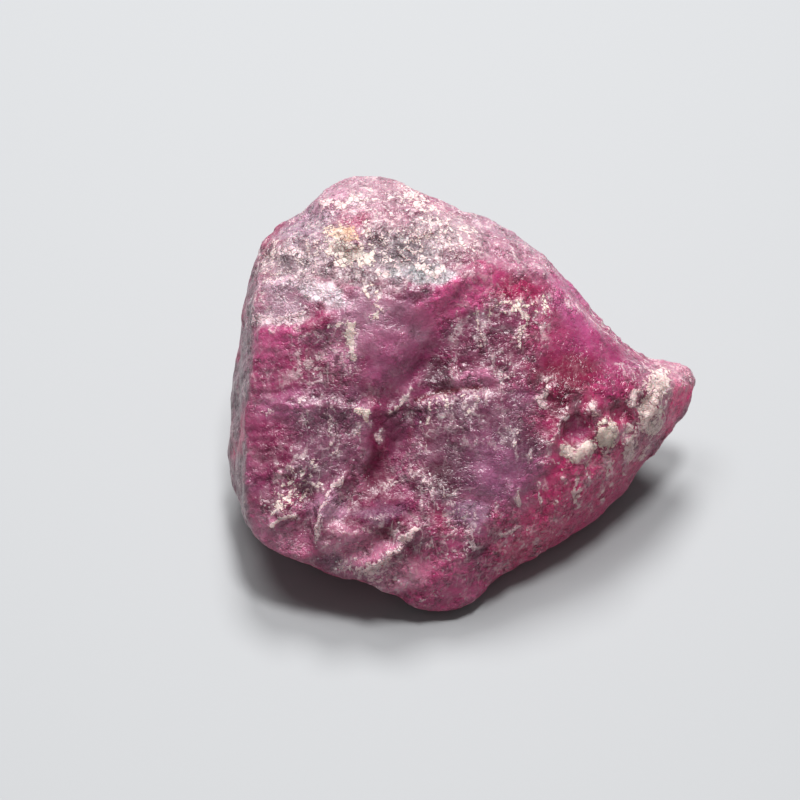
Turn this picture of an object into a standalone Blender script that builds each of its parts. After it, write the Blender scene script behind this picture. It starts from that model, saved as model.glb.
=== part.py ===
"""A raw ruby crystal: one broken, weathered fragment of corundum, as it lies on a flat parting face.

The fragment is laid out by its break lines, the way a stone is surveyed. Square on to its broad face it shows
a rim, and the near side and the far side are sewn together along that rim, each as flat breaks between points
on the crests, valleys and corners. The near side is measured in the "face frame", x to the right, y up the
broad face and z out of it, and the far side in the row frame, +Z up. Wear then rounds the edges off, ledges,
ridges, grooves and lumps are worked into the near side, and a coarse broken grain covers all but the base,
which is cut off flat.
"""
import math
import bmesh
import bpy
from mathutils import Matrix, Vector, geometry, noise

MM = 0.001
# Driving dimensions, in millimetres and degrees.
WIDTH = 30.0  # across the broad face, from the left flank to the tip
LOOKS_UP = 50.0  # the broad face looks this far above the horizontal
HEART_HEIGHT = 7.5  # of the face frame's origin above the base
SPARE_UNDER = 0.6  # left below the base until the grain is in, then cut off
VOXEL = 0.36
WEAR = 5  # passes of smoothing that round the edges off
GRAIN_SIZE, GRAIN_HEIGHT = 3.6, 0.22
CHIP_SIZE, CHIP_DEPTH = 2.2, 0.10
GRAIN_FADES_BELOW = 1.0  # height above the base
STEP_WIDTH = 0.30  # of the riser of a ledge
FULL_RELIEF_BY = 1.6  # relief is whole where the skin's slope to the face frame's z is under 1 / this
TRIANGLES = 9400
RUBY = (0.36, 0.045, 0.12, 1.0)
ROUGHNESS = 0.45

# The rim, clockwise from the top of the dome.
RIM = [
    (-5.2, 14.7, -3.1), (-3.9, 14.4, -2.9), (-2.0, 13.5, -2.2), (0.0, 12.6, -1.5), (2.0, 11.8, -1.2),
    (3.9, 10.9, -1.2), (6.0, 9.4, -1.5), (8.0, 7.2, -1.9), (10.0, 4.8, -2.3), (11.3, 3.8, -2.6),
    (12.6, 3.0, -2.8), (14.2, 2.8, -2.9), (15.2, 2.4, -3.0), (15.8, 1.7, -3.0), (16.0, 0.9, -3.0),
    (15.5, -0.5, -3.0), (14.2, -2.6, -2.8), (12.2, -5.0, -2.7), (11.2, -6.3, -2.4), (10.1, -7.3, -1.8),
    (8.1, -8.8, -0.6), (6.0, -9.9, 0.2), (4.0, -10.8, 1.0), (2.7, -11.6, 1.5), (2.0, -12.3, 1.9),
    (1.0, -13.1, 2.2), (0.0, -13.5, 2.4), (-1.4, -13.6, 2.6), (-2.3, -13.3, 2.8), (-3.5, -12.8, 3.2),
    (-6.0, -11.5, 3.8), (-8.0, -10.9, 4.1), (-10.0, -10.2, 4.2), (-12.1, -9.3, 3.9), (-12.9, -8.5, 3.2),
    (-13.5, -7.1, 1.5), (-14.0, -5.7, -0.4), (-14.3, -4.2, -1.4), (-14.3, -1.5, -2.0), (-13.9, 2.0, -1.8),
    (-13.5, 4.8, -1.5), (-13.1, 7.5, -1.6), (-12.8, 8.9, -1.8), (-12.3, 10.1, -2.0), (-11.2, 11.1, -2.3),
    (-10.0, 11.8, -2.5), (-9.3, 12.4, -2.7), (-8.6, 13.5, -2.9), (-7.7, 14.2, -3.0), (-6.4, 14.7, -3.1),
]
# Break lines of the near side, in the face frame.
NEAR_LINES = {
    "dome": [(-8.2, 12.5, 0.3), (-6.6, 13.1, 0.2), (-5.0, 13.3, 0.2), (-3.2, 12.8, 0.3), (-1.4, 12.1, 0.6)],
    "brow": [
        (-10.6, 10.2, 1.0), (-8.2, 10.8, 2.0), (-5.5, 11.0, 2.7), (-2.8, 10.9, 2.8), (-0.4, 10.7, 2.6),
        (2.0, 10.2, 2.3), (4.0, 9.7, 1.5),
    ],
    "shelf": [
        (-10.8, 7.5, 3.0), (-9.0, 7.2, 4.0), (-6.4, 7.5, 4.5), (-4.0, 8.2, 4.4), (-1.2, 8.3, 4.3),
        (0.8, 9.2, 3.7),
    ],
    "crown crest": [
        (-12.35, 5.0, 3.0), (-10.3, 5.0, 4.2), (-8.2, 5.6, 4.9), (-6.0, 6.0, 5.3), (-3.9, 6.2, 5.5),
        (-1.6, 6.6, 5.3), (0.2, 7.4, 5.0), (1.9, 8.2, 4.5), (4.0, 8.4, 3.4), (5.8, 7.9, 2.5),
        (7.2, 6.6, 1.9), (8.6, 5.0, 1.4), (10.2, 3.5, 1.0), (11.8, 2.1, 0.9), (13.4, 1.3, 0.5),
        (14.8, 0.8, -0.7),
    ],
    "left crest": [
        (-11.6, 9.6, 0.6), (-12.15, 7.45, 2.0), (-12.35, 5.0, 3.0), (-12.6, 2.5, 3.4), (-12.8, 0.0, 3.7),
        (-12.95, -2.45, 4.0), (-13.0, -4.1, 4.1), (-13.0, -5.75, 4.1), (-12.8, -7.2, 4.1),
    ],
    "rolled facet": [(-6.6, 3.0, 5.5), (-4.6, 3.9, 5.8), (-2.6, 5.0, 5.6), (-1.1, 5.9, 5.2)],
    "rolled foot": [(-6.4, 0.6, 5.4), (-4.5, 1.5, 5.6), (-3.0, 2.9, 5.4)],
    "valley": [
        (0.5, 6.4, 4.4), (-0.9, 3.6, 4.1), (-1.9, 1.6, 4.1), (-3.2, -0.5, 4.1), (-3.4, -2.5, 3.7),
        (-4.6, -4.4, 3.9), (-5.5, -5.8, 4.5),
    ],
    "bank": [(2.4, 6.5, 4.3), (4.6, 6.0, 3.8), (6.1, 5.0, 3.3)],
    "bank foot": [(1.2, 3.2, 4.6), (3.7, 2.7, 4.6), (6.3, 2.6, 3.8), (8.6, 2.0, 2.9)],
    "over the crack": [(-1.6, 0.65, 4.35), (0.2, 0.9, 4.7), (2.3, 1.0, 4.85)],
    "lip of the crack": [
        (-2.0, -0.1, 4.8), (0.1, 0.2, 5.1), (2.3, 0.35, 5.05), (4.8, 0.45, 4.75), (7.2, 0.55, 4.1),
        (9.6, 0.6, 3.2), (11.6, 0.3, 2.1), (13.2, -0.3, 0.9),
    ],
    "flank ridge": [
        (6.3, -1.8, 4.5), (5.2, -4.4, 4.7), (3.3, -6.9, 4.8), (1.7, -9.4, 4.4), (0.6, -11.4, 3.7),
    ],
    "flank": [
        (12.4, -1.8, 1.0), (10.4, -3.8, 1.9), (8.2, -5.7, 2.7), (5.8, -7.7, 2.9), (3.6, -9.4, 3.0),
    ],
    "broad field": [(-1.7, -3.0, 4.6), (0.6, -5.2, 4.9), (3.0, -4.0, 5.1)],
    "right field": [(8.2, -1.9, 3.9), (10.0, -1.7, 3.1)],
    "left field": [(-9.8, 2.6, 4.6), (-10.0, -1.2, 4.8), (-10.6, -4.6, 4.8)],
    "left field, inner": [(-7.2, -0.6, 5.2), (-7.0, -3.4, 5.0)],
    "wall of the valley": [(-5.2, -0.9, 5.1), (-5.6, -3.2, 4.8)],
    "crust bank": [(-10.6, -7.2, 5.0), (-9.4, -6.2, 4.5), (-9.3, -8.9, 4.4)],
    "upright ridge": [(-6.9, -4.9, 5.0), (-7.9, -6.4, 5.3), (-8.4, -7.6, 5.3), (-8.3, -9.4, 4.9)],
    "lower lumps": [(-6.4, -8.2, 5.5), (-3.8, -6.9, 5.2), (-1.6, -6.4, 4.9)],
    "slanting ridge": [(-2.4, -8.2, 5.2), (-3.5, -9.4, 5.1), (-5.1, -10.4, 4.8)],
    "toe": [(-1.2, -11.2, 4.4)],
}
# Break lines of the far side, in the row frame. The first is the edge of the base, and closes on itself.
BASE_EDGE = [
    (-7.8, -6.5), (-1.4, -9.4), (2.0, -8.4), (5.2, -6.0), (9.4, -2.4), (9.2, 4.2), (2.2, 9.8),
    (-6.4, 9.2), (-10.6, 4.0), (-10.8, -3.0),
]
FAR_LINES = {
    "right-hand arris of the back": [(9.2, 4.2, -0.6), (11.4, 4.6, 4.6)],
    "middle arris of the back": [(2.2, 9.8, -0.6), (3.0, 12.0, 6.6), (3.2, 10.9, 11.4)],
    "left-hand arris of the back": [(-6.4, 9.2, -0.6), (-8.0, 12.2, 7.2), (-7.4, 13.0, 12.0)],
    "arris behind the left flank": [(-10.6, 4.0, -0.6), (-13.0, 4.6, 5.0)],
    "swell of the back": [(-2.8, 12.9, 8.4)],
}
# Relief, placed in the face frame. A ledge is a name, the line walked, a height and a reach: the ground to
# the left of the line stands that much higher at the line and falls away again over the reach.
NEAR_LEDGES = [
    ("second ledge", [(-7.4, 5.3), (-8.6, 4.8), (-10.2, 4.4), (-12.1, 4.4)], 0.40, 2.2),
    ("crust ledge", [(0.6, 8.1), (-1.6, 7.6), (-3.8, 7.4), (-5.4, 6.7), (-7.2, 7.2), (-9.6, 7.5), (-11.4, 7.3)],
     0.35, 2.6),
    ("dome ledge", [(-1.8, 10.9), (-4.2, 10.5), (-6.4, 10.8), (-8.4, 10.3), (-10.0, 10.4)], 0.30, 2.0),
    ("chipped ledge", [(-2.3, 1.1), (-3.7, -0.5), (-5.6, -0.6), (-8.0, -0.1), (-10.4, 0.0)], 0.30, 1.6),
    ("lower ledge", [(3.2, -7.6), (1.2, -6.4), (-1.0, -5.4), (-2.4, -4.4), (-4.0, -5.2)], 0.14, 2.0),
]
FAR_LEDGES = [
    ("upper step of the back", [(5.6, 7.4), (1.4, 8.8), (-2.6, 9.9), (-6.8, 8.6), (-11.4, 9.2)], 0.50, 2.6),
    ("lower step of the back", [(4.6, 4.4), (0.4, 5.0), (-3.6, 6.4), (-8.2, 5.4)], 0.45, 2.4),
    ("step under the front", [(-9.6, -7.2), (-6.0, -9.6), (-2.4, -11.8)], 0.35, 1.6),
]
# Name, line, height (a groove's is negative), half width.
NEAR_RIDGES = [
    ("slanting ridge", [(-2.4, -8.2), (-3.5, -9.4), (-5.1, -10.4), (-5.8, -11.1)], 0.40, 0.55),
    ("upright ridge", [(-6.8, -4.9), (-7.9, -6.4), (-8.4, -7.6), (-8.4, -9.4)], 0.40, 0.50),
    ("curved crust", [(-11.2, -7.8), (-10.6, -7.3), (-9.8, -7.1)], 0.35, 0.45),
    ("pit's rim", [(7.2, -0.9), (6.6, -1.7), (6.4, -2.8)], 0.30, 0.40),
    ("red groove", [(-6.4, -9.6), (-5.2, -9.4), (-4.0, -8.7)], -0.40, 0.45),
    ("crack", [(-2.0, 0.25), (-0.2, 0.55), (2.2, 0.7)], -0.40, 0.35),
    ("side of the valley", [(-2.6, -0.9), (-2.9, -2.2), (-3.6, -3.6)], -0.50, 0.60),
    ("upright groove", [(-9.2, -6.0), (-9.2, -7.6), (-8.9, -9.2)], -0.35, 0.50),
    ("notch by the tip", [(11.6, 3.7), (11.2, 3.0)], -0.35, 0.60),
]
FAR_RIDGES = [
    ("cleft of the back", [(-1.2, 12.6), (-0.4, 10.0), (-1.4, 7.4), (-0.8, 4.4)], -0.45, 0.70),
    ("seam of the left flank", [(-12.4, 6.4), (-11.6, 1.4), (-12.2, -3.0)], -0.30, 0.60),
]
# Name, x, y, height (a pit's is negative), radius.
NEAR_LUMPS = [
    ("dark pit", 7.8, -2.0, -0.75, 0.95), ("cream crescent", 8.0, -3.3, 0.30, 0.90),
    ("cream disc", 9.7, -2.2, 0.35, 0.85), ("cream lump", 8.9, -0.6, 0.25, 0.65),
    ("cream lump 2", 11.2, -2.9, 0.25, 0.60), ("cream crust", 13.1, -1.0, 0.25, 0.90),
    ("pit by the tip", 10.4, -0.9, -0.40, 0.70), ("pit by the tip 2", 12.2, -0.5, -0.30, 0.60),
    ("crust hollow", -10.2, -5.4, -0.35, 1.00), ("crust lump", -11.0, -4.6, 0.25, 0.70),
    ("pink lump", -7.0, -8.4, 0.30, 0.90), ("lower lump", -4.6, -7.4, 0.30, 1.00),
    ("toe hollow", -1.6, -10.0, -0.35, 1.20), ("crown hollow", -4.6, 9.3, -0.35, 1.10),
    ("crown hollow 2", -1.4, 9.6, -0.30, 1.00), ("crown lump", -6.2, 9.6, 0.25, 0.80),
    ("dome hollow", -3.0, 12.1, -0.25, 0.90), ("crown corner lump", -10.2, 9.1, 0.30, 0.90),
]
FAR_LUMPS = [
    ("hollow of the back", -5.0, 7.8, -0.50, 1.80), ("hollow of the back 2", 3.2, 7.0, -0.40, 1.40),
    ("boss of the back", -3.4, 12.0, 0.35, 1.50), ("boss under the tip", 10.4, -0.6, 0.35, 1.60),
]


def to_row_frame():
    return Matrix.Translation((0, 0, HEART_HEIGHT)) @ Matrix.Rotation(math.radians(90.0 - LOOKS_UP), 4, "X")


def sewn_side(bm, rim, points, lines, outwards):
    """Flat triangles inside the rim, through the points and along the lines, seen along the face frame's z."""
    flat = [point.to_2d() for point in points]
    ring = [list(range(len(rim)))]
    _, _, triangles, sources, _, _ = geometry.delaunay_2d_cdt(flat, lines, ring, 1, 1e-6)
    corners = [rim[s[0]] if s[0] < len(rim) else bm.verts.new(points[s[0]]) for s in sources]
    for triangle in triangles:
        order = triangle if outwards else reversed(triangle)
        bm.faces.new([corners[index] for index in order])


def surveyed(start, lines):
    """The points of these lines after those of the rim, and the edges between them by number."""
    points = list(start)
    edges = []
    for line, closed in lines:
        numbers = []
        for place in line:
            near = [n for n, known in enumerate(points) if (known - place).length < 1e-4]
            if not near:
                points.append(place)
            numbers.append(near[0] if near else len(points) - 1)
        edges += zip(numbers, numbers[1:])
        if closed:
            edges.append((numbers[-1], numbers[0]))
    return points, edges


def broken_block():
    """The stone in flat breaks, in the row frame and in millimetres."""
    bm = bmesh.new()
    lean = to_row_frame()
    back = lean.inverted()
    places = [Vector(place) for place in RIM]
    rim = [bm.verts.new(place) for place in places]
    near_lines = [([Vector(place) for place in line], False) for line in NEAR_LINES.values()]
    sewn_side(bm, rim, *surveyed(places, near_lines), True)
    base = [back @ Vector((x, y, -SPARE_UNDER)) for x, y in BASE_EDGE]
    far_lines = [([back @ Vector(place) for place in line], False) for line in FAR_LINES.values()]
    sewn_side(bm, rim, *surveyed(places, [(base, True), *far_lines]), False)
    bm.transform(lean)
    bmesh.ops.recalc_face_normals(bm, faces=bm.faces)
    return bm


def shaped_by(mesh, modifiers):
    """The mesh as these modifiers leave it: (type, settings) of each, in order."""
    obj = bpy.data.objects.new("shaping", mesh)
    bpy.context.scene.collection.objects.link(obj)
    for kind, settings in modifiers:
        modifier = obj.modifiers.new(kind.lower(), kind)
        for name, value in settings.items():
            setattr(modifier, name, value)
    graph = bpy.context.evaluated_depsgraph_get()
    result = bpy.data.meshes.new_from_object(obj.evaluated_get(graph))
    bpy.data.objects.remove(obj)
    bpy.data.meshes.remove(mesh)
    return result


def from_line(place, line):
    """Distance from the line, and whether the place is on its left."""
    nearest = math.inf
    left = False
    for start, end in zip(line, line[1:]):
        start, along = Vector(start), Vector(end) - Vector(start)
        share = min(max((place - start).dot(along) / along.length_squared, 0.0), 1.0)
        offset = place - start - along * share
        if offset.length < nearest:
            nearest = offset.length
            left = along.cross(offset) > 0.0
    return nearest, left


def faded(distance, reach):
    share = max(1.0 - distance / reach, 0.0)
    return share * share * (3.0 - 2.0 * share)


def relief(place, ledges, ridges, lumps):
    """Height of the ledges, ridges and lumps at a place in the face frame."""
    height = 0.0
    for _, line, rise, reach in ledges:
        distance, left = from_line(place, line)
        if left:
            height += rise * faded(distance, reach)
        else:
            height += rise * faded(distance, STEP_WIDTH)
    for _, line, rise, half_width in ridges:
        height += rise * faded(from_line(place, line)[0], 2.0 * half_width)
    for _, x, y, rise, radius in lumps:
        height += rise * faded((place - Vector((x, y))).length, 1.5 * radius)
    return height


def grain(place):
    """Coarse swells, and chips between flat breaks."""
    swell = noise.fractal(place / GRAIN_SIZE, 1.0, 2.0, 3) * GRAIN_HEIGHT
    distances, _ = noise.voronoi(place / CHIP_SIZE + Vector((7.0, 3.0, 1.0)))
    return swell - CHIP_DEPTH * faded(distances[1] - distances[0], 0.5)


def worked(mesh):
    """Raises the relief along the face frame's z and the grain along the skin."""
    back = to_row_frame().inverted()
    out_of_face = to_row_frame().to_3x3() @ Vector((0, 0, 1))
    moves = []
    for vertex in mesh.vertices:
        place = (back @ vertex.co).to_2d()
        faces_near = FULL_RELIEF_BY * vertex.normal.dot(out_of_face)
        move = vertex.normal * grain(vertex.co)
        if faces_near > 0.0:
            raised = relief(place, NEAR_LEDGES, NEAR_RIDGES, NEAR_LUMPS)
            move += out_of_face * (raised * min(faces_near, 1.0))
        else:
            raised = relief(place, FAR_LEDGES, FAR_RIDGES, FAR_LUMPS)
            move -= out_of_face * (raised * min(-faces_near, 1.0))
        moves.append(vertex.co + move * min(max(vertex.co.z / GRAIN_FADES_BELOW, 0.0), 1.0))
    for vertex, place in zip(mesh.vertices, moves):
        vertex.co = place
    mesh.update()
    return mesh


def rested(mesh):
    """Cuts the base off flat and puts the middle of the box over the origin."""
    bm = bmesh.new()
    bm.from_mesh(mesh)
    whole = bm.verts[:] + bm.edges[:] + bm.faces[:]
    found = bmesh.ops.bisect_plane(bm, geom=whole, dist=0.02, plane_co=(0, 0, 0), plane_no=(0, 0, 1),
                                   clear_inner=True)
    around = [item for item in found["geom_cut"] if isinstance(item, bmesh.types.BMEdge)]
    for vertex in {vertex for edge in around for vertex in edge.verts}:
        vertex.co.z = 0.0
    bmesh.ops.edgeloop_fill(bm, edges=around)
    bmesh.ops.triangulate(bm, faces=bm.faces[:])
    bmesh.ops.recalc_face_normals(bm, faces=bm.faces)
    lows = [min(vertex.co[axis] for vertex in bm.verts) for axis in range(3)]
    highs = [max(vertex.co[axis] for vertex in bm.verts) for axis in range(3)]
    middle = Vector(((lows[0] + highs[0]) / 2, (lows[1] + highs[1]) / 2, 0.0))
    scale = MM * WIDTH / (highs[0] - lows[0])
    bm.transform(Matrix.Scale(scale, 4) @ Matrix.Translation(-middle))
    bm.to_mesh(mesh)
    bm.free()
    return mesh


def ruby_material():
    material = bpy.data.materials.new("ruby")
    material.use_nodes = True
    shader = material.node_tree.nodes["Principled BSDF"]
    shader.inputs["Base Color"].default_value = RUBY
    shader.inputs["Roughness"].default_value = ROUGHNESS
    shader.inputs["Metallic"].default_value = 0.0
    material.diffuse_color = RUBY
    return material


def main():
    for obj in list(bpy.data.objects):
        bpy.data.objects.remove(obj)
    mesh = bpy.data.meshes.new("ruby_crystal")
    block = broken_block()
    block.to_mesh(mesh)
    block.free()
    mesh = shaped_by(mesh, [
        ("REMESH", {"mode": "VOXEL", "voxel_size": VOXEL}), ("SMOOTH", {"factor": 0.5, "iterations": WEAR}),
    ])
    mesh = worked(mesh)
    ratio = TRIANGLES / (2.0 * len(mesh.polygons))
    mesh = shaped_by(mesh, [("TRIANGULATE", {}), ("DECIMATE", {"ratio": ratio})])
    mesh = rested(mesh)
    mesh.name = "ruby_crystal"
    mesh.materials.append(ruby_material())
    stone = bpy.data.objects.new("ruby_crystal", mesh)
    bpy.context.scene.collection.objects.link(stone)


main()
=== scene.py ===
import math
import bpy
import numpy as np
from mathutils import Matrix, Vector, noise


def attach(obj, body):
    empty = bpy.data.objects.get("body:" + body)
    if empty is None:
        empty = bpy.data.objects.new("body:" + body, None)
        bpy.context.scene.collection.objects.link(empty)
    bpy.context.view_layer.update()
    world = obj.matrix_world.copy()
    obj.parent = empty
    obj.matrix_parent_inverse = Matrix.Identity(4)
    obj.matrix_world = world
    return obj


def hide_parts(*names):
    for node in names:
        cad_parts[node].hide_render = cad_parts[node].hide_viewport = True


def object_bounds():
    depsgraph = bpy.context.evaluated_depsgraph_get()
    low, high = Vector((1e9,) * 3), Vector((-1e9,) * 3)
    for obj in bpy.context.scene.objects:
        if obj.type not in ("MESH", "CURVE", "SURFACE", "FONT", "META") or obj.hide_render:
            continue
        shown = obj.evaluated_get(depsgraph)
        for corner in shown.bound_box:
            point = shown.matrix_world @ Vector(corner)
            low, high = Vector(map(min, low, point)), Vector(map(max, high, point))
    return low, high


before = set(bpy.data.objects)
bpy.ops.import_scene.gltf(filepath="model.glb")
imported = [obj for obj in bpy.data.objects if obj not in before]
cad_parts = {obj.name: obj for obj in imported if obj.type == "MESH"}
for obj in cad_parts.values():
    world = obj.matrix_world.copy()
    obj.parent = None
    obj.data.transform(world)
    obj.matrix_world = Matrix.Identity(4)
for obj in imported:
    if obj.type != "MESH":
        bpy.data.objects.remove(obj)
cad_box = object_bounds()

# ---------------------------------------------------------------------------------------------------------
# The lump: one piece of raw ruby, corundum all through and nearly opaque. It broke out of its rock along
# flat partings, which step in ledges and chips, and then weathered until its edges were worn round. It is
# all one growth, with nothing fixed to it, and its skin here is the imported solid's, drawn finer.
MM = 0.001
SKIN_VOXEL = 0.162 * MM
SKIN_WEAR = 14  # pairs of smoothing passes, in and out again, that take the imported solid's flats off
WEAR_IN, WEAR_OUT = 0.5, -0.53  # how far each pass goes towards the neighbours' middle
WELD_GAP = 0.001 * MM
HEART = Vector((-0.748, -0.591, 7.456)) * MM  # middle of the broad face: the stone's places start here
LOOKS_UP = math.radians(50)  # the broad face looks this far above level
PLACE = 0.994 * MM  # one millimetre of the places below

skin_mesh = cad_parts["ruby_crystal"].data.copy()
skin_mesh.materials.clear()
ruby = bpy.data.objects.new("ruby_skin", skin_mesh)
bpy.context.scene.collection.objects.link(ruby)
joined = ruby.modifiers.new("joined", "WELD")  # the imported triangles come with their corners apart
joined.merge_threshold = WELD_GAP
even = ruby.modifiers.new("even", "REMESH")
even.mode = "VOXEL"
even.voxel_size = SKIN_VOXEL
graph = bpy.context.evaluated_depsgraph_get()
skin_mesh = bpy.data.meshes.new_from_object(ruby.evaluated_get(graph))
ruby.modifiers.clear()
ruby.data = skin_mesh
skin_mesh.name = "ruby_skin"

count = len(skin_mesh.vertices)
skin = np.empty(count * 3)
skin_mesh.vertices.foreach_get("co", skin)
skin = skin.reshape(-1, 3)
ends = np.empty(len(skin_mesh.edges) * 2, dtype=np.int64)
skin_mesh.edges.foreach_get("vertices", ends)
one_end, other_end = ends.reshape(-1, 2).T
neighbours = np.bincount(ends, minlength=count)[:, None]
for step in [WEAR_IN, WEAR_OUT] * SKIN_WEAR:
    sums_round = np.stack([
        np.bincount(one_end, skin[other_end, axis], count)
        + np.bincount(other_end, skin[one_end, axis], count)
        for axis in range(3)], axis=1)
    skin = skin + step * (sums_round / neighbours - skin)
skin_mesh.vertices.foreach_set("co", skin.ravel())
skin_mesh.update()
normals = np.empty(count * 3)
skin_mesh.vertices.foreach_get("normal", normals)
normals = normals.reshape(-1, 3)
across = np.array((1.0, 0.0, 0.0))
up_face = np.array((0.0, math.sin(LOOKS_UP), math.cos(LOOKS_UP)))
out_of_face = np.array((0.0, -math.cos(LOOKS_UP), math.sin(LOOKS_UP)))
axes = np.array((across, up_face, out_of_face))
places = (skin - np.array(HEART)) @ axes.T / PLACE  # x right, y up the broad face, z out of it, in mm
facing = normals @ axes.T
near = np.clip(facing[:, 2] * 4.0 + 0.9, 0.0, 1.0)  # 1 on the near side, 0 on the back and the underside


def soft(low, high, values):
    """From 0 at low to 1 at high with a smooth step, whichever of the two is greater."""
    share = np.clip((values - low) / (high - low), 0.0, 1.0)
    return share * share * (3.0 - 2.0 * share)


SWELL_SMOOTH, SWELL_FINER = 0.9, 2.0  # how quickly the small swells fade, and how much smaller each set is


def swells(points, size, octaves, shift):
    """Rounded noise about 0, with its largest swells this size."""
    offset = Vector((shift, shift * 0.7, -shift))
    return np.array([noise.fractal(Vector(point) / size + offset, SWELL_SMOOTH, SWELL_FINER, octaves)
                     for point in points])


CHIP_LOT = 57.0  # spreads the chips' places apart, so that each draws a tilt of its own
CHIP_TILT, CHIP_STEP = 1.6, 0.5  # how far a chip's face slopes, and how far it stands in or out


def flat_chips(points, size, shift):
    """Flat breaks with steps between them, each tilted its own way, about 0."""
    offset = Vector((shift, -shift, shift * 0.3))
    heights = np.empty(len(points))
    for number, point in enumerate(points):
        place = Vector(point) / size + offset
        cell = noise.voronoi(place)[1][0]
        tilt = noise.cell_vector(cell * CHIP_LOT) - Vector((0.5, 0.5, 0.5))
        heights[number] = (place - cell).dot(tilt) * CHIP_TILT + tilt.x * CHIP_STEP
    return heights


def from_line(xy, line):
    """Distance of each place from a line drawn through points."""
    nearest = np.full(len(xy), 1e9)
    for start, end in zip(line, line[1:]):
        start, end = np.array(start), np.array(end)
        along = end - start
        share = np.clip((xy - start) @ along / (along @ along), 0.0, 1.0)
        nearest = np.minimum(nearest, np.linalg.norm(xy - start - share[:, None] * along, axis=1))
    return nearest


def in_oval(xy, x, y, half_x, half_y, turn=0.0):
    """How far out in an oval each place is: 0 in the middle, 1 on its edge."""
    c, s = math.cos(math.radians(turn)), math.sin(math.radians(turn))
    dx, dy = xy[:, 0] - x, xy[:, 1] - y
    return np.hypot((dx * c + dy * s) / half_x, (dy * c - dx * s) / half_y)


# Nothing on the stone has a clean outline, so places are shifted before anything is laid on them.
RAGGED, WANDERING = 0.30, 0.55  # how strongly growths are shifted, and colours on top of that
ragged = places[:, :2] + RAGGED * np.stack(
    [swells(places, 0.9, 3, 11.0), swells(places, 0.9, 3, 23.0)], axis=1)
wandering = ragged + WANDERING * np.stack(
    [swells(places, 1.8, 2, 91.0), swells(places, 1.8, 2, 97.0)], axis=1)

# How broken the skin is, part by part: name, x, y, half width, half height and turn of the oval it fills,
# and the share of the chips' depth.
BROKEN = [
    ("crown", -5.0, 10.0, 8.0, 3.6, 0, 0.8),
    ("dome", -5.0, 13.0, 3.8, 1.6, 0, 0.7),
    ("upper right slope", 3.5, 9.6, 4.0, 1.6, -25, 0.6),
    ("rolled facet", -3.6, 3.4, 3.4, 3.0, -30, 0.05),
    ("left strip", -11.4, -1.2, 1.5, 5.6, 0, 0.08),
    ("right of the valley", 2.4, 3.4, 3.2, 2.8, 0, 0.55),
    ("smooth raspberry slope", 8.4, 3.0, 3.2, 2.2, -35, 0.08),
    ("broad field", 1.6, -3.8, 3.8, 3.4, 0, 0.16),
    ("lower right flank", 5.8, -7.4, 5.2, 2.6, 35, 0.55),
    ("hollow", -4.5, -4.0, 1.0, 2.4, 10, 0.12),
    ("crusted lower left", -10.0, -6.0, 1.7, 2.4, -20, 0.75),
    ("lower lumps", -5.0, -8.8, 3.8, 2.4, -20, 0.5),
    ("top of the lumps", -4.6, -7.0, 1.9, 0.9, 10, 0.50),
    ("head of the valley", 0.6, 6.9, 2.4, 1.0, 20, 0.15),
    ("lower right edge", 4.5, -9.4, 3.2, 1.2, 30, 0.7),
    ("pitted end of the field", 9.5, -1.4, 3.4, 2.6, 0, 0.6),
    ("tip", 14.0, 0.4, 2.0, 2.0, 0, 0.35),
]
BROKEN_ELSEWHERE = 0.45
broken = np.full(count, BROKEN_ELSEWHERE)
for _, x, y, half_x, half_y, turn, share in BROKEN:
    inside = soft(1.25, 0.75, in_oval(ragged, x, y, half_x, half_y, turn)) * near
    broken += (share - broken) * inside
EDGES_WORN = 0.6  # share of the chips that wear took off the edges
broken *= 1.0 - EDGES_WORN * soft(0.45, 0.05, np.abs(facing[:, 2]))

CHIP, SMALL_CHIP, GRAIN = 1.5, 0.55, 0.32  # sizes across, in mm
CHIP_DEPTH, SMALL_CHIP_DEPTH, GRAIN_DEPTH = 0.20, 0.13, 0.035
relief = CHIP_DEPTH * broken * flat_chips(places, CHIP, 3.0)
relief += SMALL_CHIP_DEPTH * broken * flat_chips(places, SMALL_CHIP, 8.0)
relief += GRAIN_DEPTH * (0.4 + broken) * swells(places, GRAIN, 2, 31.0)

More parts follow.
